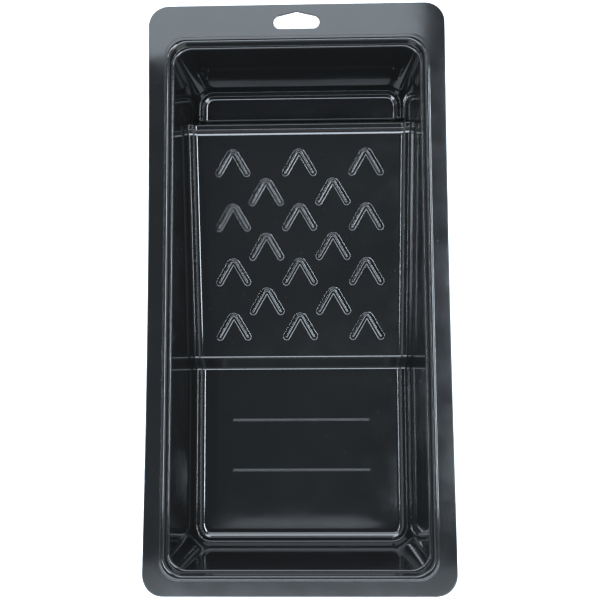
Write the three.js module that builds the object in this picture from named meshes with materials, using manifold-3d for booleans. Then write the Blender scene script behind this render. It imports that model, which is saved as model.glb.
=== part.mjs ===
// Small paint roller tray, vacuum-formed from one sheet of gloss black plastic.
//
// Units are millimetres and +Z is up. The origin is the middle of the resting face, +Y points to
// the end with the hang hole, and X is the axis of symmetry. The tray is a deep, drafted tub with
// a stepped rim and a flat flange. Inside it, going from -Y to +Y, are the paint well, a short
// step, the ribbed ramp, a crest, a steep riser and a pocket that is as deep as the well and
// stands on the table as the rear foot.
//
// The sheet is made whole, and is then divided along straight planes into simple zones, which
// meet face to face without a gap. Each zone is one closed solid.

import * as THREE from 'three';
import { mergeVertices } from 'three/addons/utils/BufferGeometryUtils.js';
import Module from 'manifold-3d';

const wasm = await Module();
wasm.setup();

// ---- driving dimensions ----------------------------------------------------------------------

const LENGTH = 396;
const WIDTH = 203.2;
const HEIGHT = 70;
const SHEET = 1.2;

// Rim: a flat flange, a low bead, a step down to a narrow ledge, and then the wall.
const FLANGE_TOP = 69.4;
const LEDGE_TOP = 66.2;
const LEDGE_FALL = 0.2;
const BEAD_SLOPE = 0.5;
const STEP_FOOT_GAP = 1.8;
const FLANGE_CORNER_RADIUS = 14;
const RIM_CORNER_RADIUS = 13;
const LEDGE_CORNER_RADIUS = 12;
const FOOT_CORNER_RADIUS = 11.5;

// One entry for each kind of side: where the flange stops, the widths of the bead and of the whole
// rim, and how the wall leans. The heel is the short slope between the foot ledge and the floor.
const SIDE = {
  flangeEnd: 90.1, beadWidth: 2.9, rimWidth: 6, draft: 8.1, footFillet: 1.2, heelRun: 2.2, heelFillet: 6,
};
const FAR_END = {
  flangeEnd: 175.6, beadWidth: 3.4, rimWidth: 7.6, draft: 8.9, footFillet: 0.3, heelRun: 2.2, heelFillet: 2.2,
};
const NEAR_END = {
  flangeEnd: 187.6, beadWidth: 2.6, rimWidth: 6.2, draft: 10.3, footFillet: 1.2, heelRun: 3.15, heelFillet: 8,
};

// Foot ledge: the wall lands on it, and the heel leads from its edge down to the floor.
const HEEL_ANGLE = 35;
const FOOT_LEDGE_WIDTH = 3.1;
const FOOT_LEDGE_RISE = 0.2;

// Fillets. The tightest one is what the underside of an even tighter bend keeps.
const HEEL_EDGE_FILLET = 0.4;
const WALL_TOP_FILLET = 1.4;
const STEP_FOOT_FILLET = 0.3;
const BEAD_EDGE_FILLET = 2;
const BEAD_FILLET = 0.3;
const TIGHTEST_FILLET = 0.2;

// Side view of the raised middle: step, ramp, crest and riser, each corner with its fillet r.
const STEP_FOOT = { y: -47.6, r: 3 };
const RAMP_LOW = { y: -40.4, z: 8, r: 3 };
const RAMP_HIGH = { y: 118.2, z: 28.6, r: 8 };
const CREST = { nearY: 121.4, farY: 125.1, z: 30.8, r: 1 };
const RISER_FOOT = { y: 135.4, r: 2.5 };

// Chevron ribs on the ramp, in rows of three and two.
const RIB = { halfAngle: 30, leg: 19.9, apexRound: 2.3, topWidth: 1.7, flank: 1.1, height: 1.7 };
const RIB_COLUMN_PITCH = 47.6;
const RIB_ROWS = 7;
const RIB_FIRST_APEX_Y = 105.5;
const RIB_PAIR_PITCH = 38.7;
const RIB_EVEN_ROW_DROP = 20.8;

// Two raised rules across the floor of the well.
const RULE = { length: 97, width: 0.6, flank: 0.3, height: 0.5 };
const RULE_ROWS_Y = [-84.5, -120];

// Hang hole: three round corners joined by straight lines, flat side towards the tray.
const HOLE_SIDE_CORNER = { x: 11.25, y: 185.1, radius: 4.5 };
const HOLE_PEAK = { y: 188.4, radius: 4 };

// Planes that divide the sheet into zones.
const RIM_CUT_Z = 64;
const FAR_CUT_Y = 150;
const NEAR_CUT_Y = -160;
const SIDE_CUT_X = 67.5;
const FLOOR_CUTS_Y = { riserFoot: 139, crestFar: 127, crestNear: 116, rampFoot: -39, stepFoot: -50.5 };

// Reach of the cutting bodies past the tray, and how finely round stretches are divided.
const BEYOND = 400;
const CLEAR = 10;
const BELOW = -CLEAR;
const ABOVE = HEIGHT + CLEAR;
const FILLET_SEGMENTS = 2;
const WIDE_FILLET_SEGMENTS = 6;
const CORNER_SEGMENTS = 4;

// ---- outlines --------------------------------------------------------------------------------

const radians = THREE.MathUtils.degToRad;

/** Moves an open line of corners sideways: each corner lands where its two moved edges cross. */
function offsetCorners(corners, distance) {
  const edges = [];
  for (let i = 1; i < corners.length; i++) {
    const along = new THREE.Vector2().subVectors(corners[i].p, corners[i - 1].p).normalize();
    const normal = new THREE.Vector2(-along.y, along.x).multiplyScalar(distance);
    edges.push({ start: corners[i - 1].p.clone().add(normal), end: corners[i].p.clone().add(normal), along });
  }
  const last = edges.length;
  return corners.map(({ r, segments }, i) => {
    if (i === 0) return { p: edges[0].start, r, segments };
    if (i === last) return { p: edges[last - 1].end, r, segments };
    const [a, b] = [edges[i - 1], edges[i]];
    const reach = new THREE.Vector2().subVectors(b.start, a.end).cross(b.along) / a.along.cross(b.along);
    const turnsLeft = a.along.cross(b.along) > 0;
    const radius = Math.max(r + (turnsLeft ? -distance : distance), TIGHTEST_FILLET);
    return { p: a.end.clone().addScaledVector(a.along, reach), r: radius, segments };
  });
}

/** Rounds an open line of corners: every inner corner becomes an arc of a few points. */
function roundCorners(corners) {
  const points = [corners[0].p.clone()];
  for (let i = 1; i < corners.length - 1; i++) {
    const { p, r, segments } = corners[i];
    const back = new THREE.Vector2().subVectors(corners[i - 1].p, p).normalize();
    const ahead = new THREE.Vector2().subVectors(corners[i + 1].p, p).normalize();
    const half = Math.acos(THREE.MathUtils.clamp(back.dot(ahead), -1, 1)) / 2;
    const middle = back.clone().add(ahead).normalize();
    const centre = p.clone().addScaledVector(middle, r / Math.sin(half));
    const from = p.clone().addScaledVector(back, r / Math.tan(half)).sub(centre);
    const to = p.clone().addScaledVector(ahead, r / Math.tan(half)).sub(centre);
    const sweep = Math.atan2(from.cross(to), from.dot(to));
    for (let k = 0; k <= segments; k++) {
      points.push(from.clone().rotateAround(new THREE.Vector2(), (sweep * k) / segments).add(centre));
    }
  }
  points.push(corners[corners.length - 1].p.clone());
  return points;
}

const corner = (u, z, r = 0) => ({ p: new THREE.Vector2(u, z), r, segments: FILLET_SEGMENTS });
const wideCorner = (u, z, r) => ({ ...corner(u, z, r), segments: WIDE_FILLET_SEGMENTS });

/**
 * Section through the rim and one wall. u runs inwards from where the flange stops.
 * The line starts on the flange and ends on the floor, and its left side is the tray's inside.
 */
function wallSection(side, withBead) {
  const bead = [
    corner(0, FLANGE_TOP, BEAD_FILLET),
    corner(BEAD_SLOPE, HEIGHT, BEAD_FILLET),
    corner(side.beadWidth, HEIGHT, BEAD_EDGE_FILLET),
  ];
  const plain = [corner(side.beadWidth, FLANGE_TOP, BEAD_FILLET)];
  const wallTop = LEDGE_TOP - LEDGE_FALL;
  const heelTop = SHEET + side.heelRun * Math.tan(radians(HEEL_ANGLE));
  const wallFoot = heelTop + FOOT_LEDGE_RISE;
  const foot = side.rimWidth + (wallTop - wallFoot) * Math.tan(radians(side.draft));
  const heel = foot + FOOT_LEDGE_WIDTH + side.heelRun;
  return [
    corner(-FLANGE_CORNER_RADIUS, FLANGE_TOP),
    ...(withBead ? bead : plain),
    corner(side.rimWidth - STEP_FOOT_GAP, LEDGE_TOP, STEP_FOOT_FILLET),
    corner(side.rimWidth, wallTop, WALL_TOP_FILLET),
    corner(foot, wallFoot, side.footFillet),
    corner(foot + FOOT_LEDGE_WIDTH, heelTop, HEEL_EDGE_FILLET),
    wideCorner(heel, SHEET, side.heelFillet),
    corner(heel + side.heelFillet, SHEET),
  ];
}

/** The raised middle in side view, as (y, z) corners from the well to the pocket. */
function rampSection() {
  return [
    corner(STEP_FOOT.y - CLEAR, SHEET),
    corner(STEP_FOOT.y, SHEET, STEP_FOOT.r),
    corner(RAMP_LOW.y, RAMP_LOW.z, RAMP_LOW.r),
    wideCorner(RAMP_HIGH.y, RAMP_HIGH.z, RAMP_HIGH.r),
    corner(CREST.nearY, CREST.z, CREST.r),
    corner(CREST.farY, CREST.z, CREST.r),
    corner(RISER_FOOT.y, SHEET, RISER_FOOT.r),
    corner(RISER_FOOT.y + CLEAR, SHEET),
  ];
}

/** Rounded rectangle, symmetric in x, as points that run anticlockwise. */
function ringOutline({ halfWidth, far, near, radius }) {
  const x = halfWidth - radius;
  const path = new THREE.Path();
  path.absarc(x, far - radius, radius, 0, Math.PI / 2);
  path.absarc(-x, far - radius, radius, Math.PI / 2, Math.PI);
  path.absarc(-x, radius - near, radius, Math.PI, 1.5 * Math.PI);
  path.absarc(x, radius - near, radius, 1.5 * Math.PI, 2 * Math.PI);
  return path.getPoints(CORNER_SEGMENTS);
}

// ---- solids ----------------------------------------------------------------------------------

/** Turns a closed three.js geometry into a manifold-3d solid. */
function toSolid(geometry) {
  const bare = geometry.clone();
  bare.deleteAttribute('normal');
  bare.deleteAttribute('uv');
  const merged = mergeVertices(bare, 1e-5);
  return new wasm.Manifold(new wasm.Mesh({
    numProp: 3,
    vertProperties: Float32Array.from(merged.attributes.position.array),
    triVerts: Uint32Array.from(merged.index.array),
  }));
}

/** Closed body through a stack of rings with equal numbers of points, capped at both ends. */
function loftSolid(rings) {
  const outlines = rings.map(ringOutline);
  const count = outlines[0].length;
  const positions = [];
  outlines.forEach((outline, i) => outline.forEach((p) => positions.push(p.x, p.y, rings[i].z)));
  const triangles = [];
  for (let i = 1; i < rings.length; i++) {
    for (let k = 0; k < count; k++) {
      const [a, b] = [(i - 1) * count + k, (i - 1) * count + ((k + 1) % count)];
      triangles.push(a, b, b + count, a, b + count, a + count);
    }
  }
  const top = (rings.length - 1) * count;
  for (const [a, b, c] of THREE.ShapeUtils.triangulateShape(outlines[0], [])) {
    triangles.push(c, b, a);
    triangles.push(top + a, top + b, top + c);
  }
  const geometry = new THREE.BufferGeometry();
  geometry.setAttribute('position', new THREE.Float32BufferAttribute(positions, 3));
  geometry.setIndex(triangles);
  return toSolid(geometry);
}

/**
 * Corner radius of the tub in plan, at one distance in from the flange's end.
 * Below the foot of the wall, all the rings of a corner share one centre.
 */
function cornerRadius(u, foot) {
  if (u > foot) return FOOT_CORNER_RADIUS - (u - foot);
  if (u > SIDE.rimWidth) {
    return THREE.MathUtils.mapLinear(u, SIDE.rimWidth, foot, LEDGE_CORNER_RADIUS, FOOT_CORNER_RADIUS);
  }
  return THREE.MathUtils.mapLinear(u, 0, SIDE.rimWidth, RIM_CORNER_RADIUS, LEDGE_CORNER_RADIUS);
}

/** Everything above one skin of the tub: above its inside, or above its outside. */
function tubSolid(outside) {
  const section = (side) => {
    const corners = wallSection(side, !outside);
    return roundCorners(outside ? offsetCorners(corners, -SHEET) : corners);
  };
  const [side, far, near] = [SIDE, FAR_END, NEAR_END].map(section);
  const thickness = outside ? SHEET : 0;
  const foot = wallSection(SIDE, true).at(-4).p.x;
  const rings = side.map((point, i) => ({
    z: point.y,
    halfWidth: SIDE.flangeEnd - point.x,
    far: FAR_END.flangeEnd - far[i].x,
    near: NEAR_END.flangeEnd - near[i].x,
    radius: cornerRadius(point.x + thickness, foot) + thickness,
  }));
  const margin = outside ? 0 : CLEAR;
  const rim = {
    halfWidth: WIDTH / 2 + margin,
    far: LENGTH / 2 + margin,
    near: LENGTH / 2 + margin,
    radius: FLANGE_CORNER_RADIUS,
  };
  rings[0] = { ...rim, z: rings[0].z };
  rings.unshift({ ...rim, z: ABOVE });
  return loftSolid(rings.reverse());
}

/** Solid under one skin of the raised middle, open to below the tray. */
function rampSolid(outside) {
  const corners = rampSection();
  const line = roundCorners(outside ? offsetCorners(corners, -SHEET) : corners).slice(1, -1);
  const shape = new THREE.Shape([
    new THREE.Vector2(line[0].x, BELOW),
    ...line,
    new THREE.Vector2(line[line.length - 1].x, BELOW),
  ]);
  const geometry = new THREE.ExtrudeGeometry(shape, { depth: WIDTH, bevelEnabled: false });
  geometry.translate(0, 0, -WIDTH / 2);
  const turned = new THREE.Matrix4().makeBasis(
    new THREE.Vector3(0, 1, 0),
    new THREE.Vector3(0, 0, 1),
    new THREE.Vector3(1, 0, 0),
  );
  return toSolid(geometry.applyMatrix4(turned));
}

/** Lens-shaped body whose upper half stands out of the sheet by the emboss's height. */
function embossGeometry(outline, { flank, height }) {
  const middle = 0.1;
  const geometry = new THREE.ExtrudeGeometry(outline, {
    depth: middle,
    bevelSize: flank,
    bevelThickness: height,
    bevelSegments: 1,
    curveSegments: 3,
  });
  return geometry.translate(0, 0, -middle);
}

/** Flat top of a chevron rib, with its apex at the origin and its legs towards -Y. */
function chevronOutline() {
  const half = RIB.topWidth / 2;
  const lean = radians(RIB.halfAngle);
  const crossing = RIB.apexRound * (1 / Math.sin(lean) - 1);
  const foot = { x: RIB.leg * Math.sin(lean), y: crossing - RIB.leg * Math.cos(lean) };
  const outline = new THREE.Shape();
  outline.absarc(0, -RIB.apexRound, RIB.apexRound + half, lean, Math.PI - lean);
  outline.absarc(-foot.x, foot.y, half, Math.PI - lean, 2 * Math.PI - lean);
  outline.lineTo(0, crossing - half / Math.sin(lean));
  outline.absarc(foot.x, foot.y, half, Math.PI + lean, 2 * Math.PI + lean);
  return outline;
}

/** Flat top of a rule, centred on the origin. */
function ruleOutline() {
  const half = RULE.width / 2;
  const outline = new THREE.Shape();
  outline.absarc(RULE.length / 2 - half, 0, half, -Math.PI / 2, Math.PI / 2);
  outline.absarc(half - RULE.length / 2, 0, half, Math.PI / 2, 1.5 * Math.PI);
  return outline;
}

/** Where each chevron's apex lies: rows of three, and between them rows of two, half a pitch over. */
function chevronPlaces() {
  const slope = Math.atan2(RAMP_HIGH.z - RAMP_LOW.z, RAMP_HIGH.y - RAMP_LOW.y);
  const places = [];
  for (let row = 0; row < RIB_ROWS; row++) {
    const even = row % 2;
    const y = RIB_FIRST_APEX_Y - Math.floor(row / 2) * RIB_PAIR_PITCH - even * RIB_EVEN_ROW_DROP;
    const z = RAMP_LOW.z + (y - RAMP_LOW.y) * Math.tan(slope);
    const count = 3 - even;
    for (let i = 0; i < count; i++) {
      const x = (i - (count - 1) / 2) * RIB_COLUMN_PITCH;
      places.push(new THREE.Matrix4().makeRotationX(slope).setPosition(x, y, z));
    }
  }
  return places;
}

/** Presses an emboss through the sheet: its crown is added on top, and hollowed from below. */
function pressThrough(sheet, geometry, place) {
  const down = new THREE.Matrix4().makeTranslation(0, 0, -SHEET);
  const crown = toSolid(geometry.clone().applyMatrix4(place));
  const hollow = toSolid(geometry.clone().applyMatrix4(down).applyMatrix4(place));
  return sheet.add(crown).subtract(hollow);
}

/** The hole's outline: an arc at each corner, and straight lines between them. */
function hangHoleSolid() {
  const { x, y, radius } = HOLE_SIDE_CORNER;
  const rise = Math.atan2(HOLE_PEAK.y - y, x);
  const lean = Math.asin((radius - HOLE_PEAK.radius) / Math.hypot(x, HOLE_PEAK.y - y));
  const tangent = Math.PI / 2 - rise + lean;
  const outline = new THREE.Shape();
  outline.absarc(x, y, radius, -Math.PI / 2, tangent);
  outline.absarc(0, HOLE_PEAK.y, HOLE_PEAK.radius, tangent, Math.PI - tangent);
  outline.absarc(-x, y, radius, Math.PI - tangent, 1.5 * Math.PI);
  const depth = 2 * CLEAR;
  const geometry = new THREE.ExtrudeGeometry(outline, { depth, bevelEnabled: false, curveSegments: 6 });
  return toSolid(geometry.translate(0, 0, HEIGHT - CLEAR));
}

/** The whole formed sheet. */
function traySolid() {
  const body = tubSolid(true).subtract(rampSolid(true));
  const hollow = tubSolid(false).subtract(rampSolid(false));
  let sheet = body.subtract(hollow).subtract(hangHoleSolid());
  const chevron = embossGeometry(chevronOutline(), RIB);
  for (const place of chevronPlaces()) {
    sheet = pressThrough(sheet, chevron, place);
  }
  const rule = embossGeometry(ruleOutline(), RULE);
  for (const y of RULE_ROWS_Y) {
    sheet = pressThrough(sheet, rule, new THREE.Matrix4().makeTranslation(0, y, SHEET));
  }
  return sheet;
}

// ---- zones -----------------------------------------------------------------------------------

/** A box from its lowest to its highest corner. */
function boxSolid([x0, y0, z0], [x1, y1, z1]) {
  const geometry = new THREE.BoxGeometry(x1 - x0, y1 - y0, z1 - z0);
  return toSolid(geometry.translate((x0 + x1) / 2, (y0 + y1) / 2, (z0 + z1) / 2));
}

const rimZone = (x0, x1, y0, y1) => [[x0, y0, RIM_CUT_Z], [x1, y1, ABOVE]];
const wallZone = (x0, x1, y0, y1) => [[x0, y0, BELOW], [x1, y1, RIM_CUT_Z]];
const floorZone = (y0, y1) => wallZone(-SIDE_CUT_X, SIDE_CUT_X, y0, y1);
const cuts = FLOOR_CUTS_Y;

const ZONES = {
  rim_far: rimZone(-BEYOND, BEYOND, FAR_CUT_Y, BEYOND),
  rim_near: rimZone(-BEYOND, BEYOND, -BEYOND, NEAR_CUT_Y),
  rim_left: rimZone(-BEYOND, 0, NEAR_CUT_Y, FAR_CUT_Y),
  rim_right: rimZone(0, BEYOND, NEAR_CUT_Y, FAR_CUT_Y),
  wall_far: wallZone(-BEYOND, BEYOND, FAR_CUT_Y, BEYOND),
  wall_near: wallZone(-BEYOND, BEYOND, -BEYOND, NEAR_CUT_Y),
  wall_left: wallZone(-BEYOND, -SIDE_CUT_X, NEAR_CUT_Y, FAR_CUT_Y),
  wall_right: wallZone(SIDE_CUT_X, BEYOND, NEAR_CUT_Y, FAR_CUT_Y),
  pocket_floor: floorZone(cuts.riserFoot, FAR_CUT_Y),
  ramp_riser: floorZone(cuts.crestFar, cuts.riserFoot),
  ramp_crest: floorZone(cuts.crestNear, cuts.crestFar),
  ramp_panel: floorZone(cuts.rampFoot, cuts.crestNear),
  well_step: floorZone(cuts.stepFoot, cuts.rampFoot),
  well_floor: floorZone(NEAR_CUT_Y, cuts.stepFoot),
};

/** Turns a solid back into a three.js mesh with flat facets. */
function toMesh(name, solid) {
  const { vertProperties, triVerts } = solid.getMesh();
  const geometry = new THREE.BufferGeometry();
  geometry.setAttribute('position', new THREE.BufferAttribute(Float32Array.from(vertProperties), 3));
  geometry.setIndex(new THREE.BufferAttribute(Uint32Array.from(triVerts), 1));
  geometry.computeVertexNormals();
  const material = new THREE.MeshStandardMaterial({ color: 0x17191a, roughness: 0.16, metalness: 0 });
  const mesh = new THREE.Mesh(geometry, material);
  mesh.name = name;
  return mesh;
}

const group = new THREE.Group();
group.name = 'paint_roller_tray';
const sheet = traySolid();
for (const [name, [low, high]] of Object.entries(ZONES)) {
  group.add(toMesh(name, sheet.intersect(boxSolid(low, high))));
}

export default group;
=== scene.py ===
"""Looks for a small paint roller tray: one vacuum-formed sheet of gloss black plastic.

The sheet is modelled as two skins, the paint side and the underside, that share one layout of
faces: a grid of rings and stations for the flange, the rim, the wall, its foot ledge and its heel,
straight rows for the step, the crest and the riser, and flat fills for the well, the ramp and the
rear pocket. Lengths are millimetres up to the point where the mesh is made, in the frame of the
CAD model: the well is at the near end, low in Y, and the hang hole is at the far end.
"""

import math

import bpy
import numpy as np
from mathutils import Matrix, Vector
from mathutils.geometry import delaunay_2d_cdt


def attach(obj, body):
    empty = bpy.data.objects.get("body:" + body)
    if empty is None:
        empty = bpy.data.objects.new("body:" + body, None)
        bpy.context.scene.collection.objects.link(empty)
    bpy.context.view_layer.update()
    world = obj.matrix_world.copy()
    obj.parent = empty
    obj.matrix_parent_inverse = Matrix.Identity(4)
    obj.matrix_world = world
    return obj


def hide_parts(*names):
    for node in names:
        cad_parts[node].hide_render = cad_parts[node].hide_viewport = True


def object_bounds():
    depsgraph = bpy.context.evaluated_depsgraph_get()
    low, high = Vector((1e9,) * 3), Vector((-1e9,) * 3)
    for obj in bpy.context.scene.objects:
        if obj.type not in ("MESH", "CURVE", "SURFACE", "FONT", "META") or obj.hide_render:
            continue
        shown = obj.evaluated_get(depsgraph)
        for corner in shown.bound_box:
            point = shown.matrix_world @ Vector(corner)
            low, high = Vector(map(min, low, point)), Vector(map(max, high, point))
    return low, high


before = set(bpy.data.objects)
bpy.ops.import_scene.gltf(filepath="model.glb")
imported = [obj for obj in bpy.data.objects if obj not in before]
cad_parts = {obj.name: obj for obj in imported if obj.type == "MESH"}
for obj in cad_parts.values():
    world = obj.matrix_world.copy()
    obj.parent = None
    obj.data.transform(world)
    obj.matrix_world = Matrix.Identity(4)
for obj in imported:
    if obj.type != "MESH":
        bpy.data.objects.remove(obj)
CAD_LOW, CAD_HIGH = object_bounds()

MM = 0.001
QUARTER_TURN = math.pi / 2

# ---- sizes of the sheet ------------------------------------------------------------------------

WIDTH = (CAD_HIGH.x - CAD_LOW.x) / MM
LENGTH = (CAD_HIGH.y - CAD_LOW.y) / MM
HEIGHT = CAD_HIGH.z / MM
SHEET = 1.2

# The rim is a bead round the inside of the flange, and a ledge below it at the wall's top.
BEAD_RISE = 0.6
FLANGE_TOP = HEIGHT - BEAD_RISE
LEDGE_TOP = 66.2
LEDGE_FALL = 0.2
WALL_TOP = LEDGE_TOP - LEDGE_FALL
LEDGE_WIDTH = 1.8
BEAD_SLOPE = 0.5
EDGE_ROUND = 0.3
FLANGE_CORNER_RADIUS = 14
RIM_CORNER_RADIUS = 13
LEDGE_CORNER_RADIUS = 12
FOOT_CORNER_RADIUS = 11.5

# One entry for each kind of side: how far from the tray's middle its edge is and the rim starts,
# the widths of the bead and of the whole rim, and the wall's lean in degrees. The heel is the short
# slope between the foot ledge and the floor.
SIDE = {
    "name": "side", "edge": WIDTH / 2, "end": 90.1, "bead": 2.9, "rim": 6.0, "draft": 8.1,
    "foot_fillet": 1.2, "heel": 2.2, "heel_fillet": 6,
}
FAR = {
    "name": "far", "edge": LENGTH / 2, "end": 175.6, "bead": 3.4, "rim": 7.6, "draft": 8.9,
    "foot_fillet": 0.3, "heel": 2.2, "heel_fillet": 2.2,
}
NEAR = {
    "name": "near", "edge": LENGTH / 2, "end": 187.6, "bead": 2.6, "rim": 6.2, "draft": 10.3,
    "foot_fillet": 1.2, "heel": 3.15, "heel_fillet": 8,
}

HEEL_SLOPE = math.tan(math.radians(35))
FOOT_LEDGE_WIDTH = 3.1
FOOT_LEDGE_RISE = 0.2
HEEL_EDGE_FILLET = 0.4
WALL_TOP_FILLET = 1.4
LEDGE_FILLET = 0.3
BEAD_EDGE_FILLET = 2
BEAD_FILLET = 0.35
TIGHTEST_FILLET = 0.2

# Side view of the raised middle, as corners (y, z, fillet radius, fillet segments).
WELL_END = (-150, SHEET, 0, 0)
STEP_FOOT = (-47.6, SHEET, 3, 8)
RAMP_LOW = (-40.4, 8, 3, 8)
RAMP_HIGH = (118.2, 28.6, 8, 8)
CREST_NEAR = (121.4, 30.8, 1, 6)
CREST_FAR = (125.1, 30.8, 1, 6)
RISER_FOOT = (135.4, SHEET, 2.5, 8)
POCKET_END = (139, SHEET, 0, 0)
RAISED_CORNERS = [
    WELL_END, STEP_FOOT, RAMP_LOW, RAMP_HIGH, CREST_NEAR, CREST_FAR, RISER_FOOT, POCKET_END,
]

# Steps along each straight between those corners.
RAISED_STRAIGHTS = [16, 2, 24, 2, 2, 5, 1]

# A rib's top and flank are widths on one side of its middle line. The fillets are for a rib of full
# height: they shrink with a lower one's height, times the share given here.
RIB = {"lean": math.radians(30), "leg": 19.9, "top": 0.85, "flank": 1.1, "height": 1.7}
RIB_APEX_ROUND = 2.3
RIB_CROTCH_ROUND = 0.25
RIB_FOOT_FILLET = 1.2
RIB_TOP_FILLET = 1.2
LOW_RIB_FILLET_SHARE = 1.2
RIB_COLUMNS = 3
RIB_COLUMN_PITCH = 47.6
RIB_ROWS = 7
RIB_FIRST_APEX_Y = 105.5
RIB_PAIR_PITCH = 38.7
RIB_EVEN_ROW_DROP = 20.8

RULE = {"length": 97, "top": 0.3, "flank": 0.3, "height": 0.5}
RULE_ROWS_Y = (-84.5, -120)

# The hang hole: x, y and radius of its side corners, and y and radius of its peak.
HOLE_SIDE_CORNER = (11.25, 185.1, 4.5)
HOLE_PEAK = (188.4, 4)

# How far the long sides bow inwards and where the most, the length of a bow, the share of it that
# reaches the rim, and the distance from the middle line within which it fades.
LEFT_BOW, LEFT_BOW_Y = 1.7, -20
RIGHT_BOW, RIGHT_BOW_Y = 1.1, 40
BOW_LENGTH = 400
RIM_SHARE_OF_BOW = 0.3
BOW_FADE_X = 60

# The near half of the well's floor domes a little: half sizes, how squarely it falls off, middle
# and crown.
CROWN_X, CROWN_Y = 68, 29
CROWN_POWER_X, CROWN_POWER_Y = 6, 4
CROWN_MIDDLE_Y = -130.5
CROWN = 0.42

# ---- how finely the sheet is divided -----------------------------------------------------------

# Segments of the fillets in a wall's section. The underside passes the bead with one fillet, which
# has as many points as the bead's three fillets and the two straights between them.
BEAD_SEGMENTS = 3
BEAD_EDGE_SEGMENTS = 5
UNDER_BEAD_SEGMENTS = 17
LEDGE_SEGMENTS = 6
WALL_TOP_SEGMENTS = 8
FOOT_SEGMENTS = 6
HEEL_EDGE_SEGMENTS = 4
HEEL_SEGMENTS = 10

# Steps along the straights of a wall's section, and the rings before the bead's first fillet.
FLANGE_STRAIGHTS = 4
WALL_STRAIGHTS = 6
FOOT_LEDGE_STRAIGHTS = 2
FLANGE_RINGS = FLANGE_STRAIGHTS + 2

# Steps round the tub: in a corner, along a short end, and from a corner to the fixed stations of a
# long side. The hang hole takes up the steps of the far end from the first number to the second.
CORNER_STEPS = 16
END_STEPS = 20
TAIL_STEPS = 5
HOLE_STEPS = (7, 13)

# The flat before a rib's foot in its section, and steps in the sections and outlines of the ribs,
# the rules and the hang hole.
RIB_LEAD = 1
RIB_FOOT_SEGMENTS, RIB_TOP_SEGMENTS = 4, 5
CHEVRON_ARC_STEPS, CHEVRON_CROTCH_STEPS, CHEVRON_LEG_STEPS = 8, 6, 4
RULE_ARC_STEPS, RULE_SIDE_STEPS = 6, 12
HOLE_CORNER_STEPS, HOLE_PEAK_STEPS, HOLE_STRAIGHT_STEPS = 14, 6, 3

# Steps across a straight row, the pitch of the points in a flat fill, and how clear they keep of
# its edges.
ROW_STEPS = 14
FILL_PITCH = 6
FILL_CLEARANCE = FILL_PITCH / 3

# Every straight has a point this close to either end, so that its shading stays flat.
HOLD = 0.3

# For the flat fills: the kind of triangulation that stays within the outline, how close two points
# are to count as one, and the least squared length of an edge.
INSIDE_EDGES = 1
SAME_PLACE = 1e-6
TINY = 1e-12

# ---- looks -------------------------------------------------------------------------------------

# Plastic: its darkest and palest colour, its range of roughness, its dust specks, and the heights
# of its waves and grain in metres. A spread is the range of a noise that is put to use.
PLASTIC_DARK = (0.0050, 0.0051, 0.0052, 1)
PLASTIC_PALE = (0.0068, 0.0069, 0.0070, 1)
PLASTIC_ROUGHNESS = (0.06, 0.1)
PLASTIC_IOR = 1.5
ROUGHNESS_SPREAD = (0.3, 0.7)
SPECK_SPREAD = (0.77, 0.82)
SPECK_ROUGHNESS = (0, 0.2)
WAVE_HEIGHT = 0.00012
GRAIN_HEIGHT = 0.000004

# Features of each noise in a metre.
CLOUD_SCALE = 14
ROUGHNESS_SCALE = 45
SPECK_SCALE = 700
WAVE_SCALE = 16
GRAIN_SCALE = 160
PAPER_SCALE = 60

PAPER_GREY = (0.88, 0.88, 0.88, 1)
PAPER_WHITE = (0.92, 0.92, 0.92, 1)
PAPER_ROUGHNESS = 0.8

# ---- studio sizes, in metres -------------------------------------------------------------------

FLOOR_REACH = 1.8
LIGHT_HEIGHT = 1.4
LIGHT_COLOUR = (0.86, 0.97, 1.08)

# Each soft box overhead: its reach in x, its reach in y and its radiance.
PANELS = {
    "far_panel": ((-0.9, 0.21), (0.65, 1.7), 5),
    "far_strip": ((-2.4, 2.4), (1.7, 2.4), 10),
    "near_panel": ((-0.9, 0.9), (-0.43, -0.345), 1.5),
    "near_strip": ((-1.6, 1.6), (-0.9, -0.43), 15),
    "left_strip": ((-0.6, -0.56), (-0.25, 0.62), 75),
    "right_strip": ((0.29, 0.4), (-0.25, 0.62), 56),
}

# The sky goes from one colour to the other over a range of the ray's rise.
HORIZON = (1.3, 1.4, 1.5, 1)
ZENITH = (0.02, 0.02, 0.02, 1)
SKY_SPREAD = (0.5, 0.72)

CAMERA_PLACE = (0.0229, -0.0921, 0.7583)
CAMERA_TURN = (7.07, 1.8, -0.24)
CAMERA_LENS = 62.97
CAMERA_SENSOR = 36


# ---- lines in a plane --------------------------------------------------------------------------

def unit(v):
    """A vector scaled to length one."""
    return v / np.hypot(*v)


def offset_corners(corners, distance):
    """Moves an open line of corners to its left: each lands where its two moved edges cross."""
    points = np.array([c[:2] for c in corners], float)
    along = [unit(b - a) for a, b in zip(points, points[1:])]
    normals = [np.array((-a[1], a[0])) * distance for a in along]
    moved = [(*(points[0] + normals[0]), *corners[0][2:])]
    for i in range(1, len(points) - 1):
        a, b = along[i - 1], along[i]
        turn = a[0] * b[1] - a[1] * b[0]
        gap = normals[i] - normals[i - 1]
        place = points[i] + normals[i - 1] + a * (gap[0] * b[1] - gap[1] * b[0]) / turn
        radius = max(corners[i][2] - math.copysign(1, turn) * distance, TIGHTEST_FILLET)
        moved.append((*place, radius, corners[i][3]))
    moved.append((*(points[-1] + normals[-1]), *corners[-1][2:]))
    return moved


def arc(centre, radius, start, end, steps):
    """Points on an arc, both ends included. Angles are in radians."""
    return [
        np.array(centre) + radius * np.array((math.cos(t), math.sin(t)))
        for t in np.linspace(start, end, steps + 1)
    ]


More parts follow.
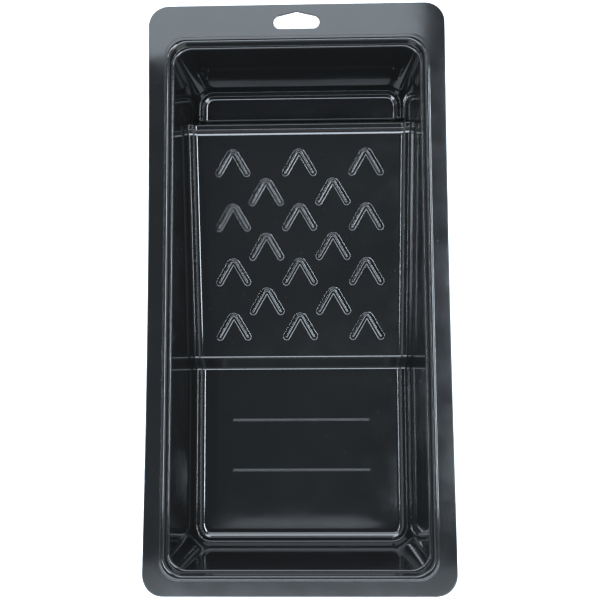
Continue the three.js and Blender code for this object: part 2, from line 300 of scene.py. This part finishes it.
def rounded_corner(before, place, after, radius, steps):
    """Points of the fillet at one corner of a line."""
    back, ahead = unit(before - place), unit(after - place)
    half = math.acos(max(-1, min(1, back @ ahead))) / 2
    centre = place + unit(back + ahead) * radius / math.sin(half)
    start = place + back * radius / math.tan(half) - centre
    end = place + ahead * radius / math.tan(half) - centre
    first = math.atan2(start[1], start[0])
    sweep = math.atan2(start[0] * end[1] - start[1] * end[0], start @ end)
    return arc(centre, radius, first, first + sweep, steps)


def rounded_line(corners, straights):
    """A line with filleted corners and divided straight stretches.

    Gives the points, and for each corner the index of its fillet's first point.
    """
    places = [np.array(c[:2], float) for c in corners]
    pieces = [[places[0]]]
    for i in range(1, len(places) - 1):
        pieces.append(rounded_corner(places[i - 1], places[i], places[i + 1], *corners[i][2:]))
    pieces.append([places[-1]])
    points, starts = [*pieces[0]], [0]
    for piece, count in zip(pieces[1:], straights):
        points += held_stretch(points[-1], piece[0], count)
        starts.append(len(points))
        points += piece
    return np.array(points), starts


def held_stretch(start, end, count):
    """The points inside a straight stretch: one held close to each end, and even steps between.

    In a short stretch they are held a quarter of the way in.
    """
    hold = min(HOLD, np.hypot(*(end - start)) / 4)
    along = unit(end - start) * hold
    first, last = start + along, end - along
    return [first + (last - first) * i / count for i in range(count + 1)]


# ---- sections through the sheet ----------------------------------------------------------------

def wall_run(side, floor):
    """How far in from the rim's start the wall meets its foot ledge, above a floor."""
    fall = WALL_TOP - floor - side["heel"] * HEEL_SLOPE - FOOT_LEDGE_RISE
    return side["rim"] + fall * math.tan(math.radians(side["draft"]))


def wall_section(side, floor, underside):
    """(u, z) points from the flange's edge, down the rim and the wall, to the floor.

    u runs inwards from where the rim starts, and the line's left is the paint side.
    """
    edge_z = floor + side["heel"] * HEEL_SLOPE
    foot = wall_run(side, floor)
    edge = foot + FOOT_LEDGE_WIDTH
    heel = edge + side["heel"]
    bead = [
        (0, FLANGE_TOP, BEAD_FILLET, BEAD_SEGMENTS),
        (BEAD_SLOPE, HEIGHT, BEAD_FILLET, BEAD_SEGMENTS),
        (side["bead"], HEIGHT, BEAD_EDGE_FILLET, BEAD_EDGE_SEGMENTS),
    ]
    under_bead = [(side["bead"], FLANGE_TOP, BEAD_FILLET, UNDER_BEAD_SEGMENTS)]
    corners = [
        (side["end"] - side["edge"] + EDGE_ROUND, FLANGE_TOP, 0, 0),
        *(under_bead if underside else bead),
        (side["rim"] - LEDGE_WIDTH, LEDGE_TOP, LEDGE_FILLET, LEDGE_SEGMENTS),
        (side["rim"], WALL_TOP, WALL_TOP_FILLET, WALL_TOP_SEGMENTS),
        (foot, edge_z + FOOT_LEDGE_RISE, side["foot_fillet"], FOOT_SEGMENTS),
        (edge, edge_z, HEEL_EDGE_FILLET, HEEL_EDGE_SEGMENTS),
        (heel, floor, side["heel_fillet"], HEEL_SEGMENTS),
        (heel + side["heel_fillet"], floor, 0, 0),
    ]
    rim_straights = [1, 1] if underside else [1, 1, 1, 1]
    straights = [FLANGE_STRAIGHTS, *rim_straights, WALL_STRAIGHTS, FOOT_LEDGE_STRAIGHTS, 1, 1]
    line = offset_corners(corners, -SHEET) if underside else corners
    return rounded_line(line, straights)[0][:-2]


def raised_line(underside):
    """(y, z) points of the raised middle in side view, and where each fillet starts."""
    line = offset_corners(RAISED_CORNERS, -SHEET) if underside else RAISED_CORNERS
    return rounded_line(line, RAISED_STRAIGHTS)


def rib_profile(emboss):
    """(outward distance, height) pairs from a rib's foot to its top.

    The line leads in on the flat and out to the rib's middle, and both ends are then dropped.
    """
    foot, top = emboss["top"] + emboss["flank"], emboss["top"]
    scale = min(1, emboss["height"] / RIB["height"] * LOW_RIB_FILLET_SHARE)
    corners = [
        (-foot - RIB_LEAD, 0, 0, 0),
        (-foot, 0, RIB_FOOT_FILLET * scale, RIB_FOOT_SEGMENTS),
        (-top, emboss["height"], RIB_TOP_FILLET * scale, RIB_TOP_SEGMENTS),
        (0, emboss["height"], 0, 0),
    ]
    points, _ = rounded_line(corners, [1, 1, 1])
    return [(-u, z) for u, z in points[2:-2]]


# ---- outlines seen from above ------------------------------------------------------------------

def chevron_loop(distance):
    """Closed outline at one distance from the middle line of a chevron, apex towards +Y."""
    lean, leg = RIB["lean"], RIB["leg"]
    lift = RIB_APEX_ROUND * (1 / math.sin(lean) - 1)
    foot = np.array((leg * math.sin(lean), lift - leg * math.cos(lean)))
    apex = (0, -RIB_APEX_ROUND)
    crotch_round = max(RIB_APEX_ROUND - distance, RIB_CROTCH_ROUND)
    crotch = (0, lift - (distance + crotch_round) / math.sin(lean))
    outer = arc(apex, RIB_APEX_ROUND + distance, lean, math.pi - lean, CHEVRON_ARC_STEPS)
    left = arc(foot * (-1, 1), distance, math.pi - lean, 2 * math.pi - lean, CHEVRON_ARC_STEPS)
    inner = arc(crotch, crotch_round, math.pi - lean, lean, CHEVRON_CROTCH_STEPS)
    right = arc(foot, distance, math.pi + lean, 2 * math.pi + lean, CHEVRON_ARC_STEPS)
    return divided_loop([outer, left, inner, right], CHEVRON_LEG_STEPS)


def rule_loop(distance):
    """Closed outline at one distance from the middle line of a straight rule."""
    half = RULE["length"] / 2 - RULE["top"]
    right = arc((half, 0), distance, -QUARTER_TURN, QUARTER_TURN, RULE_ARC_STEPS)
    left = arc((-half, 0), distance, QUARTER_TURN, 3 * QUARTER_TURN, RULE_ARC_STEPS)
    return divided_loop([right, left], RULE_SIDE_STEPS)


def hole_loop(grow):
    """The hang hole's outline, moved outwards by grow."""
    x, y, radius = HOLE_SIDE_CORNER
    peak_y, peak_radius = HOLE_PEAK
    rise = math.atan2(peak_y - y, x)
    lean = math.asin((radius - peak_radius) / math.hypot(x, peak_y - y))
    tangent = QUARTER_TURN - rise + lean
    right = arc((x, y), radius + grow, -QUARTER_TURN, tangent, HOLE_CORNER_STEPS)
    peak = arc((0, peak_y), peak_radius + grow, tangent, math.pi - tangent, HOLE_PEAK_STEPS)
    left = arc((-x, y), radius + grow, math.pi - tangent, 3 * QUARTER_TURN, HOLE_CORNER_STEPS)
    return divided_loop([right, peak, left], HOLE_STRAIGHT_STEPS)


def divided_loop(arcs, steps):
    """Joins arcs into one closed loop, and divides the straight stretches between them."""
    points = []
    for piece, following in zip(arcs, arcs[1:] + arcs[:1]):
        points += piece
        gap = following[0] - piece[-1]
        points += [piece[-1] + gap * i / steps for i in range(1, steps)]
    return np.array(points)


# ---- stations round the tub --------------------------------------------------------------------

def corner_radii(section, underside):
    """Plan radius of the corner at each point of the long side's section.

    Below the foot of the wall the corner's rings share one centre.
    """
    foot = wall_run(SIDE, SHEET)
    grow = SHEET if underside else 0
    stops = np.array([section[0, 0] + grow, 0, SIDE["rim"], foot, foot + FOOT_CORNER_RADIUS]) - grow
    inner = np.array([RIM_CORNER_RADIUS, LEDGE_CORNER_RADIUS, FOOT_CORNER_RADIUS, 0]) + grow
    return np.interp(section[:, 0], stops, [FLANGE_CORNER_RADIUS - EDGE_ROUND, *inner])


def side_column(sign, y, section):
    """A column on a long side: sign is 1 on the right and -1 on the left."""
    return [(sign * (SIDE["end"] - u), y, z) for u, z in section]


def tail_column(sign, towards, end, share, fixed_y, sections, radii):
    """A column on a long side, near one end: its points fan out to where the corner starts.

    Towards is 1 for the far end and -1 for the near one.
    """
    points = []
    for (u, z), (v, _), r in zip(sections["side"], sections[end["name"]], radii):
        tangent = towards * (end["end"] - v - r)
        points.append((sign * (SIDE["end"] - u), fixed_y + (tangent - fixed_y) * share, z))
    return points


def corner_column(sign, towards, end, angle, sections, radii):
    """A column at one angle of a rounded corner: 0 is the long side, 1 the short end."""
    turn = angle * QUARTER_TURN
    points = []
    for (u, z), (v, w), r in zip(sections["side"], sections[end["name"]], radii):
        x = SIDE["end"] - u - r + r * math.cos(turn)
        y = end["end"] - v - r + r * math.sin(turn)
        points.append((sign * x, towards * y, z + (w - z) * angle))
    return points


def end_column(share, towards, end, sections, radii):
    """A column on a short end, at a share from -1 to 1 of its straight stretch."""
    points = []
    for (u, _), (v, w), r in zip(sections["side"], sections[end["name"]], radii):
        points.append((share * (SIDE["end"] - u - r), towards * (end["end"] - v), w))
    return points


def tub_columns(underside):
    """Every column of the tub, anticlockwise from the near end of the right side."""
    sections = {kind["name"]: wall_section(kind, SHEET, underside) for kind in (SIDE, FAR, NEAR)}
    radii = corner_radii(sections["side"], underside)
    stations, _ = raised_line(underside)
    lift = SHEET if underside else 0
    ordered = [(y, wall_section(SIDE, z + lift, underside)) for y, z in stations]
    tails = np.arange(1, TAIL_STEPS) / TAIL_STEPS
    turns = np.arange(CORNER_STEPS) / CORNER_STEPS
    shares = 1 - 2 * np.arange(END_STEPS) / END_STEPS

    def side(sign, rows, start, finish):
        """Columns of one long side, from the corner at its start to the one at its finish."""
        first_y, last_y = rows[0][0], rows[-1][0]
        lead = (1, *tails[::-1])
        columns = [tail_column(sign, *start, t, first_y, sections, radii) for t in lead]
        columns += [side_column(sign, y, section) for y, section in rows]
        return columns + [tail_column(sign, *finish, t, last_y, sections, radii) for t in tails]

    near, far = (-1, NEAR), (1, FAR)
    columns = side(1, ordered, near, far)
    columns += [corner_column(1, *far, t, sections, radii) for t in turns]
    columns += [end_column(t, *far, sections, radii) for t in shares]
    columns += [corner_column(-1, *far, 1 - t, sections, radii) for t in turns]
    columns += side(-1, ordered[::-1], far, near)
    columns += [corner_column(-1, *near, t, sections, radii) for t in turns]
    columns += [end_column(-t, *near, sections, radii) for t in shares]
    columns += [corner_column(1, *near, 1 - t, sections, radii) for t in turns]
    return np.array(columns)


# ---- the mesh ----------------------------------------------------------------------------------

def strips(rows, closed):
    """Faces between neighbouring rows of indices. Each row has the next one on its left."""
    faces = []
    for a, b in zip(rows, rows[1:]):
        count = len(a) if closed else len(a) - 1
        for i in range(count):
            j = (i + 1) % len(a)
            faces.append((a[i], a[j], b[j], b[i]))
    return faces


class Sheet:
    """Vertices of both skins, in the same order, and faces that index one skin."""

    def __init__(self):
        self.skins = ([], [])
        self.faces = []

    def add(self, top, under):
        """Adds points to both skins and gives their indices."""
        first = len(self.skins[0])
        self.skins[0].extend(map(tuple, top))
        self.skins[1].extend(map(tuple, under))
        return np.arange(first, len(self.skins[0]))

    def plan(self, indices):
        """(x, y) of points, on the paint side."""
        return np.array([self.skins[0][i][:2] for i in indices])

    def fill(self, loops, inner=()):
        """Triangles between closed loops, through the inner points as well."""
        indices = np.concatenate([*loops, np.array(inner, int)]).astype(int)
        flat = self.plan(indices)
        edges, first = [], 0
        for loop in loops:
            count = len(loop)
            edges += [(first + i, first + (i + 1) % count) for i in range(count)]
            first += count
        found = delaunay_2d_cdt([Vector(p) for p in flat], edges, [], INSIDE_EDGES, SAME_PLACE)
        points, _, triangles, origins, *_ = found
        place = [indices[origin[0]] for origin in origins]
        starts, ends = flat[[a for a, _ in edges]], flat[[b for _, b in edges]]
        for triangle in triangles:
            middle = sum(np.array(points[i]) for i in triangle) / 3
            if crossings(middle, starts, ends) % 2:
                self.faces.append(tuple(place[i] for i in triangle))


def crossings(point, starts, ends):
    """How many edges a line from the point towards +X crosses."""
    rising = (starts[:, 1] > point[1]) != (ends[:, 1] > point[1])
    run = np.where(rising, ends[:, 1] - starts[:, 1], 1)
    x = starts[:, 0] + (ends[:, 0] - starts[:, 0]) * (point[1] - starts[:, 1]) / run
    return int(np.count_nonzero(rising & (x > point[0])))


def add_tub(sheet):
    """The grid of rings and stations. Gives the indices as an array of columns."""
    top, under = tub_columns(False), tub_columns(True)
    indices = sheet.add(top.reshape(-1, 3), under.reshape(-1, 3))
    return indices.reshape(top.shape[:2])


def tub_layout():
    """Where the far end's straight and the left side start, as column numbers."""
    side = 2 * TAIL_STEPS - 1 + len(raised_line(False)[0])
    far_end = side + CORNER_STEPS
    left = far_end + END_STEPS + CORNER_STEPS
    return {"far_end": far_end, "left": left}


def add_rim_faces(sheet, grid):
    """Faces of the tub, apart from the middle of the far flange, which has the hang hole."""
    first = tub_layout()["far_end"]
    skipped = range(first + HOLE_STEPS[0], first + HOLE_STEPS[1])
    count = len(grid)
    for i in range(count):
        j = (i + 1) % count
        start = FLANGE_RINGS if i in skipped else 0
        for k in range(start, grid.shape[1] - 1):
            sheet.faces.append((grid[i, k], grid[j, k], grid[j, k + 1], grid[i, k + 1]))


def add_hole(sheet, grid):
    """The flange round the hang hole. Gives the indices of the hole's edge."""
    levels = (FLANGE_TOP, FLANGE_TOP - SHEET)
    around, hole = [
        sheet.add(*[[(x, y, z) for x, y in hole_loop(grow)] for z in levels])
        for grow in (EDGE_ROUND + HOLD, EDGE_ROUND)
    ]
    sheet.faces += strips([around, hole], closed=True)
    first = tub_layout()["far_end"]
    a, b = first + HOLE_STEPS[0], first + HOLE_STEPS[1]
    outer = [*grid[a : b + 1, 0], *grid[b, 1:FLANGE_RINGS]]
    inner = [*grid[a : b + 1, FLANGE_RINGS][::-1], *grid[a, 1:FLANGE_RINGS][::-1]]
    sheet.fill([np.array(outer + inner), around])
    return hole


def raised_rows(grid):
    """The left and the right floor points at each fixed station, near to far."""
    count = len(raised_line(False)[0])
    right = grid[TAIL_STEPS : TAIL_STEPS + count, -1]
    start = tub_layout()["left"] + TAIL_STEPS
    left = grid[start : start + count, -1][::-1]
    return left, right


def add_rows(sheet, left, right, numbers):
    """Straight rows from the left floor points to the right ones."""
    rows = []
    for n in numbers:
        ends = [[np.array(skin[i]) for i in (left[n], right[n])] for skin in sheet.skins]
        shares = np.arange(1, ROW_STEPS) / ROW_STEPS
        points = [[a + (b - a) * t for t in shares] for a, b in ends]
        rows.append(np.array([left[n], *sheet.add(*points), right[n]]))
    sheet.faces += strips(rows, closed=False)
    return rows


def level_at(underside):
    """A function that gives a skin's height at y, over the raised middle and the floors."""
    points, _ = raised_line(underside)
    return lambda y: float(np.interp(y, points[:, 0], points[:, 1]))


def chevron_places():
    """(x, y) of each chevron's apex. Every second row has one fewer, and fills the gaps."""
    places = []
    for row in range(RIB_ROWS):
        even = row % 2
        y = RIB_FIRST_APEX_Y - row // 2 * RIB_PAIR_PITCH - even * RIB_EVEN_ROW_DROP
        count = RIB_COLUMNS - even
        places += [((i - (count - 1) / 2) * RIB_COLUMN_PITCH, y) for i in range(count)]
    return places


def add_emboss(sheet, outline, emboss, place, slope, levels):
    """A rib pressed up from the sheet, which slopes there. Gives the loop at the rib's foot."""
    x0, y0 = place
    lean = np.array((math.cos(slope), math.sin(slope)))
    loops = []
    for distance, height in rib_profile(emboss):
        skins = []
        for level in levels:
            base = level(y0)
            skins.append([
                (x0 + x, y0 + y * lean[0] - height * lean[1], base + y * lean[1] + height * lean[0])
                for x, y in outline(distance)
            ])
        loops.append(sheet.add(*skins))
    sheet.faces += strips(loops, closed=True)
    sheet.fill([loops[-1]])
    return loops[0]


def inner_points(outline, holes):
    """A square grid of points inside an outline, clear of its edge and of the holes."""
    edges = [outline, *holes]
    starts = np.concatenate(edges)
    ends = np.concatenate([np.roll(e, -1, axis=0) for e in edges])
    first, last = outline.min(axis=0) + FILL_PITCH / 2, outline.max(axis=0)
    found = []
    for x in np.arange(first[0], last[0], FILL_PITCH):
        for y in np.arange(first[1], last[1], FILL_PITCH):
            point = np.array((x, y))
            clear = distance_to_edges(point, starts, ends) > FILL_CLEARANCE
            if clear and crossings(point, starts, ends) % 2:
                found.append((x, y))
    return found


def distance_to_edges(point, starts, ends):
    """How far a point is from the nearest of the edges."""
    run = ends - starts
    share = np.clip(((point - starts) * run).sum(1) / np.maximum((run**2).sum(1), TINY), 0, 1)
    return np.hypot(*(starts + run * share[:, None] - point).T).min()


def add_floor(sheet, boundary, holes, levels):
    """A flat stretch of the sheet inside a boundary, round its holes."""
    spots = inner_points(sheet.plan(boundary), [sheet.plan(hole) for hole in holes])
    inner = sheet.add(*[[(x, y, level(y)) for x, y in spots] for level in levels])
    sheet.fill([np.array(boundary), *holes], inner)


def flat_ends():
    """Stations where the well stops, the ramp starts and stops, and the pocket starts.

    Each is the point held next to a fillet, on the flat's side of it.
    """
    start = dict(zip(RAISED_CORNERS, raised_line(False)[1]))
    after_step = start[RAMP_LOW] + RAMP_LOW[3] + 1
    after_riser = start[RISER_FOOT] + RISER_FOOT[3] + 1
    return start[STEP_FOOT] - 1, after_step, start[RAMP_HIGH] - 1, after_riser


def add_middle(sheet, grid):
    """Well, step, ramp, crest, riser and pocket, between the floor points of the tub."""
    left, right = raised_rows(grid)
    levels = (level_at(False), level_at(True))
    well_last, ramp_first, ramp_last, pocket_first = flat_ends()
    step = add_rows(sheet, left, right, range(well_last, ramp_first + 1))
    crest = add_rows(sheet, left, right, range(ramp_last, pocket_first + 1))

    slope = math.atan2(RAMP_HIGH[1] - RAMP_LOW[1], RAMP_HIGH[0] - RAMP_LOW[0])
    ribs = [add_emboss(sheet, chevron_loop, RIB, p, slope, levels) for p in chevron_places()]
    rules = [add_emboss(sheet, rule_loop, RULE, (0, y), 0, levels) for y in RULE_ROWS_Y]

    between = slice(ramp_first + 1, ramp_last)
    ramp = [*step[-1], *right[between], *crest[0][::-1], *left[between][::-1]]
    add_floor(sheet, ramp, ribs, levels)

    ring, left_start = grid[:, -1], tub_layout()["left"] + TAIL_STEPS
    near_ring = [*ring[left_start + len(left) :], *ring[:TAIL_STEPS]]
    well = [*near_ring, *right[:well_last], *step[0][::-1], *left[:well_last][::-1]]
    add_floor(sheet, well, rules, levels)

    far_ring = ring[TAIL_STEPS + len(right) : left_start]
    beyond = slice(pocket_first + 1, None)
    pocket = [*crest[-1], *right[beyond], *far_ring, *left[beyond][::-1]]
    add_floor(sheet, pocket, [], levels)


def flange_edge(ring):
    """The flange's outline at full reach, worked out from the inset ring."""
    ahead, back = np.roll(ring, -1, axis=0), np.roll(ring, 1, axis=0)
    along = ahead - back
    along /= np.hypot(*along.T)[:, None]
    return ring + np.stack((along[:, 1], -along[:, 0]), axis=1) * EDGE_ROUND


def close_cut(vertices, faces, top, under, outline):
    """Rounds a cut edge of the sheet, with two loops at full reach between the skins' own."""
    rows = [top]
    for z in (FLANGE_TOP - EDGE_ROUND, FLANGE_TOP - SHEET + EDGE_ROUND):
        first = len(vertices)
        vertices += [(x, y, z) for x, y in outline]
        rows.append(range(first, len(vertices)))
    faces += strips([*rows, under], closed=True)


def without_strays(vertices, faces):
    """Leaves out the vertices that no face has."""
    used = sorted({i for face in faces for i in face})
    renumbered = {old: new for new, old in enumerate(used)}
    kept = np.array([vertices[i] for i in used])
    return kept, [tuple(renumbered[i] for i in face) for face in faces]


def build_sheet():
    """Vertices in millimetres and faces of the whole sheet, as one closed surface."""
    sheet = Sheet()
    grid = add_tub(sheet)
    add_rim_faces(sheet, grid)
    hole = add_hole(sheet, grid)
    add_middle(sheet, grid)

    count = len(sheet.skins[0])
    vertices = [*sheet.skins[0], *sheet.skins[1]]
    faces = sheet.faces + [tuple(i + count for i in face[::-1]) for face in sheet.faces]
    edge = grid[:, 0]
    cuts = [(edge[::-1], flange_edge(sheet.plan(edge))[::-1]), (hole, hole_loop(0))]
    for loop, outline in cuts:
        close_cut(vertices, faces, loop, loop + count, outline)
    return without_strays(vertices, faces)


def settle(points):
    """The sheet's own slackness.

    Both long sides bow inwards, the most at the flange's edge, and the floor of the well domes.
    """
    x, y, z = points.T
    flange = np.clip((np.abs(x) - SIDE["end"]) / (SIDE["edge"] - SIDE["end"]), 0, 1)
    share = RIM_SHARE_OF_BOW * z / FLANGE_TOP + (1 - RIM_SHARE_OF_BOW) * flange
    left = LEFT_BOW * np.cos(np.pi * (y - LEFT_BOW_Y) / BOW_LENGTH)
    right = RIGHT_BOW * np.cos(np.pi * (y - RIGHT_BOW_Y) / BOW_LENGTH)
    bow = np.where(x < 0, left, -right) * np.minimum(1, np.abs(x) / BOW_FADE_X) * share
    across = np.clip(1 - (x / CROWN_X) ** CROWN_POWER_X, 0, 1)
    along = np.clip(1 - ((y - CROWN_MIDDLE_Y) / CROWN_Y) ** CROWN_POWER_Y, 0, 1)
    crown = CROWN * across * along
    return np.stack((x + bow, y, z + crown), axis=1)


def make_tray(material):
    """The tray's one piece, in metres, shaded by the larger faces round each vertex."""
    vertices, faces = build_sheet()
    mesh = bpy.data.meshes.new("tray_shell")
    mesh.from_pydata((settle(vertices) * MM).tolist(), [], faces)
    mesh.validate()
    mesh.polygons.foreach_set("use_smooth", [True] * len(mesh.polygons))
    mesh.materials.append(material)
    tray = bpy.data.objects.new("tray_shell", mesh)
    bpy.context.scene.collection.objects.link(tray)
    tray.modifiers.new("normals", "WEIGHTED_NORMAL")
    return tray


# ---- materials ---------------------------------------------------------------------------------

def new_material(name):
    """A material, its node tree and its shader."""
    material = bpy.data.materials.new(name)
    material.use_nodes = True
    shader = material.node_tree.nodes["Principled BSDF"]
    return material, material.node_tree, shader


def noise(tree, scale, detail=2):
    """A noise texture in the piece's own space. Scale is in features per metre."""
    place = tree.nodes.new("ShaderNodeTexCoord")
    texture = tree.nodes.new("ShaderNodeTexNoise")
    texture.inputs["Scale"].default_value = scale
    texture.inputs["Detail"].default_value = detail
    tree.links.new(place.outputs["Object"], texture.inputs["Vector"])
    return texture.outputs["Fac"]


def span(tree, value, source, target):
    """Maps a value from one range to another, clamped."""
    node = tree.nodes.new("ShaderNodeMapRange")
    for name, number in zip(("From Min", "From Max", "To Min", "To Max"), (*source, *target)):
        node.inputs[name].default_value = number
    tree.links.new(value, node.inputs["Value"])
    return node.outputs["Result"]


def bump(tree, height, distance, normal=None):
    """A normal bent by a height that goes from 0 to a distance in metres, on top of another."""
    node = tree.nodes.new("ShaderNodeBump")
    node.inputs["Distance"].default_value = distance
    tree.links.new(height, node.inputs["Height"])
    if normal:
        tree.links.new(normal, node.inputs["Normal"])
    return node.outputs["Normal"]


def blend(tree, share, first, second):
    """A colour that runs from the first to the second as the share goes from 0 to 1."""
    node = tree.nodes.new("ShaderNodeMix")
    node.data_type = "RGBA"
    node.inputs["A"].default_value = first
    node.inputs["B"].default_value = second
    tree.links.new(share, node.inputs["Factor"])
    return node.outputs["Result"]


def black_plastic():
    """Gloss black sheet: faint clouds in the colour, dust specks, uneven gloss and slack waves."""
    material, tree, shader = new_material("gloss_black_plastic")
    clouds = blend(tree, noise(tree, CLOUD_SCALE), PLASTIC_DARK, PLASTIC_PALE)
    tree.links.new(clouds, shader.inputs["Base Color"])
    gloss = span(tree, noise(tree, ROUGHNESS_SCALE, detail=4), ROUGHNESS_SPREAD, PLASTIC_ROUGHNESS)
    specks = span(tree, noise(tree, SPECK_SCALE, detail=1), SPECK_SPREAD, SPECK_ROUGHNESS)
    total = tree.nodes.new("ShaderNodeMath")
    total.operation = "ADD"
    tree.links.new(gloss, total.inputs[0])
    tree.links.new(specks, total.inputs[1])
    tree.links.new(total.outputs["Value"], shader.inputs["Roughness"])
    waves = bump(tree, noise(tree, WAVE_SCALE, detail=1), WAVE_HEIGHT)
    grain = bump(tree, noise(tree, GRAIN_SCALE), GRAIN_HEIGHT, waves)
    tree.links.new(grain, shader.inputs["Normal"])
    shader.inputs["IOR"].default_value = PLASTIC_IOR
    return material


def floor_material():
    """White paper with a faint grain."""
    material, tree, shader = new_material("pale_floor")
    grain = blend(tree, noise(tree, PAPER_SCALE, detail=4), PAPER_GREY, PAPER_WHITE)
    tree.links.new(grain, shader.inputs["Base Color"])
    shader.inputs["Roughness"].default_value = PAPER_ROUGHNESS
    return material


# ---- studio ------------------------------------------------------------------------------------

def panel(name, x, y, radiance):
    """A soft box overhead that faces down. x and y are where it starts and ends."""
    light = bpy.data.lights.new(name, "AREA")
    light.shape = "RECTANGLE"
    light.size, light.size_y = x[1] - x[0], y[1] - y[0]
    light.energy = radiance * math.pi * light.size * light.size_y
    light.color = LIGHT_COLOUR
    box = bpy.data.objects.new(name, light)
    box.location = ((x[0] + x[1]) / 2, (y[0] + y[1]) / 2, LIGHT_HEIGHT)
    bpy.context.scene.collection.objects.link(box)


def make_sky():
    """Pale near the horizon and dark overhead, where the gloss would mirror it."""
    world = bpy.data.worlds.new("studio")
    world.use_nodes = True
    tree = world.node_tree
    place = tree.nodes.new("ShaderNodeTexCoord")
    parts = tree.nodes.new("ShaderNodeSeparateXYZ")
    tree.links.new(place.outputs["Generated"], parts.inputs["Vector"])
    rise = span(tree, parts.outputs["Z"], SKY_SPREAD, (0, 1))
    tree.links.new(blend(tree, rise, HORIZON, ZENITH), tree.nodes["Background"].inputs["Color"])
    bpy.context.scene.world = world


def make_floor():
    """A square of white paper under the tray."""
    mesh = bpy.data.meshes.new("floor")
    signs = [(-1, -1), (1, -1), (1, 1), (-1, 1)]
    corners = [(x * FLOOR_REACH, y * FLOOR_REACH, 0) for x, y in signs]
    mesh.from_pydata(corners, [], [(0, 1, 2, 3)])
    mesh.materials.append(floor_material())
    floor = bpy.data.objects.new("floor", mesh)
    bpy.context.scene.collection.objects.link(floor)


def make_camera():
    """A camera above the near end of the tray, looking down."""
    data = bpy.data.cameras.new("camera")
    data.sensor_width = CAMERA_SENSOR
    data.lens = CAMERA_LENS
    camera = bpy.data.objects.new("camera", data)
    camera.location = CAMERA_PLACE
    camera.rotation_euler = [math.radians(angle) for angle in CAMERA_TURN]
    bpy.context.scene.collection.objects.link(camera)
    bpy.context.scene.camera = camera


# ---- the scene ---------------------------------------------------------------------------------

bpy.context.scene.view_settings.view_transform = "Standard"
tray = make_tray(black_plastic())
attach(tray, "root")
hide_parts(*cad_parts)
for name, (x, y, radiance) in PANELS.items():
    panel(name, x, y, radiance)
make_sky()
make_floor()
make_camera()
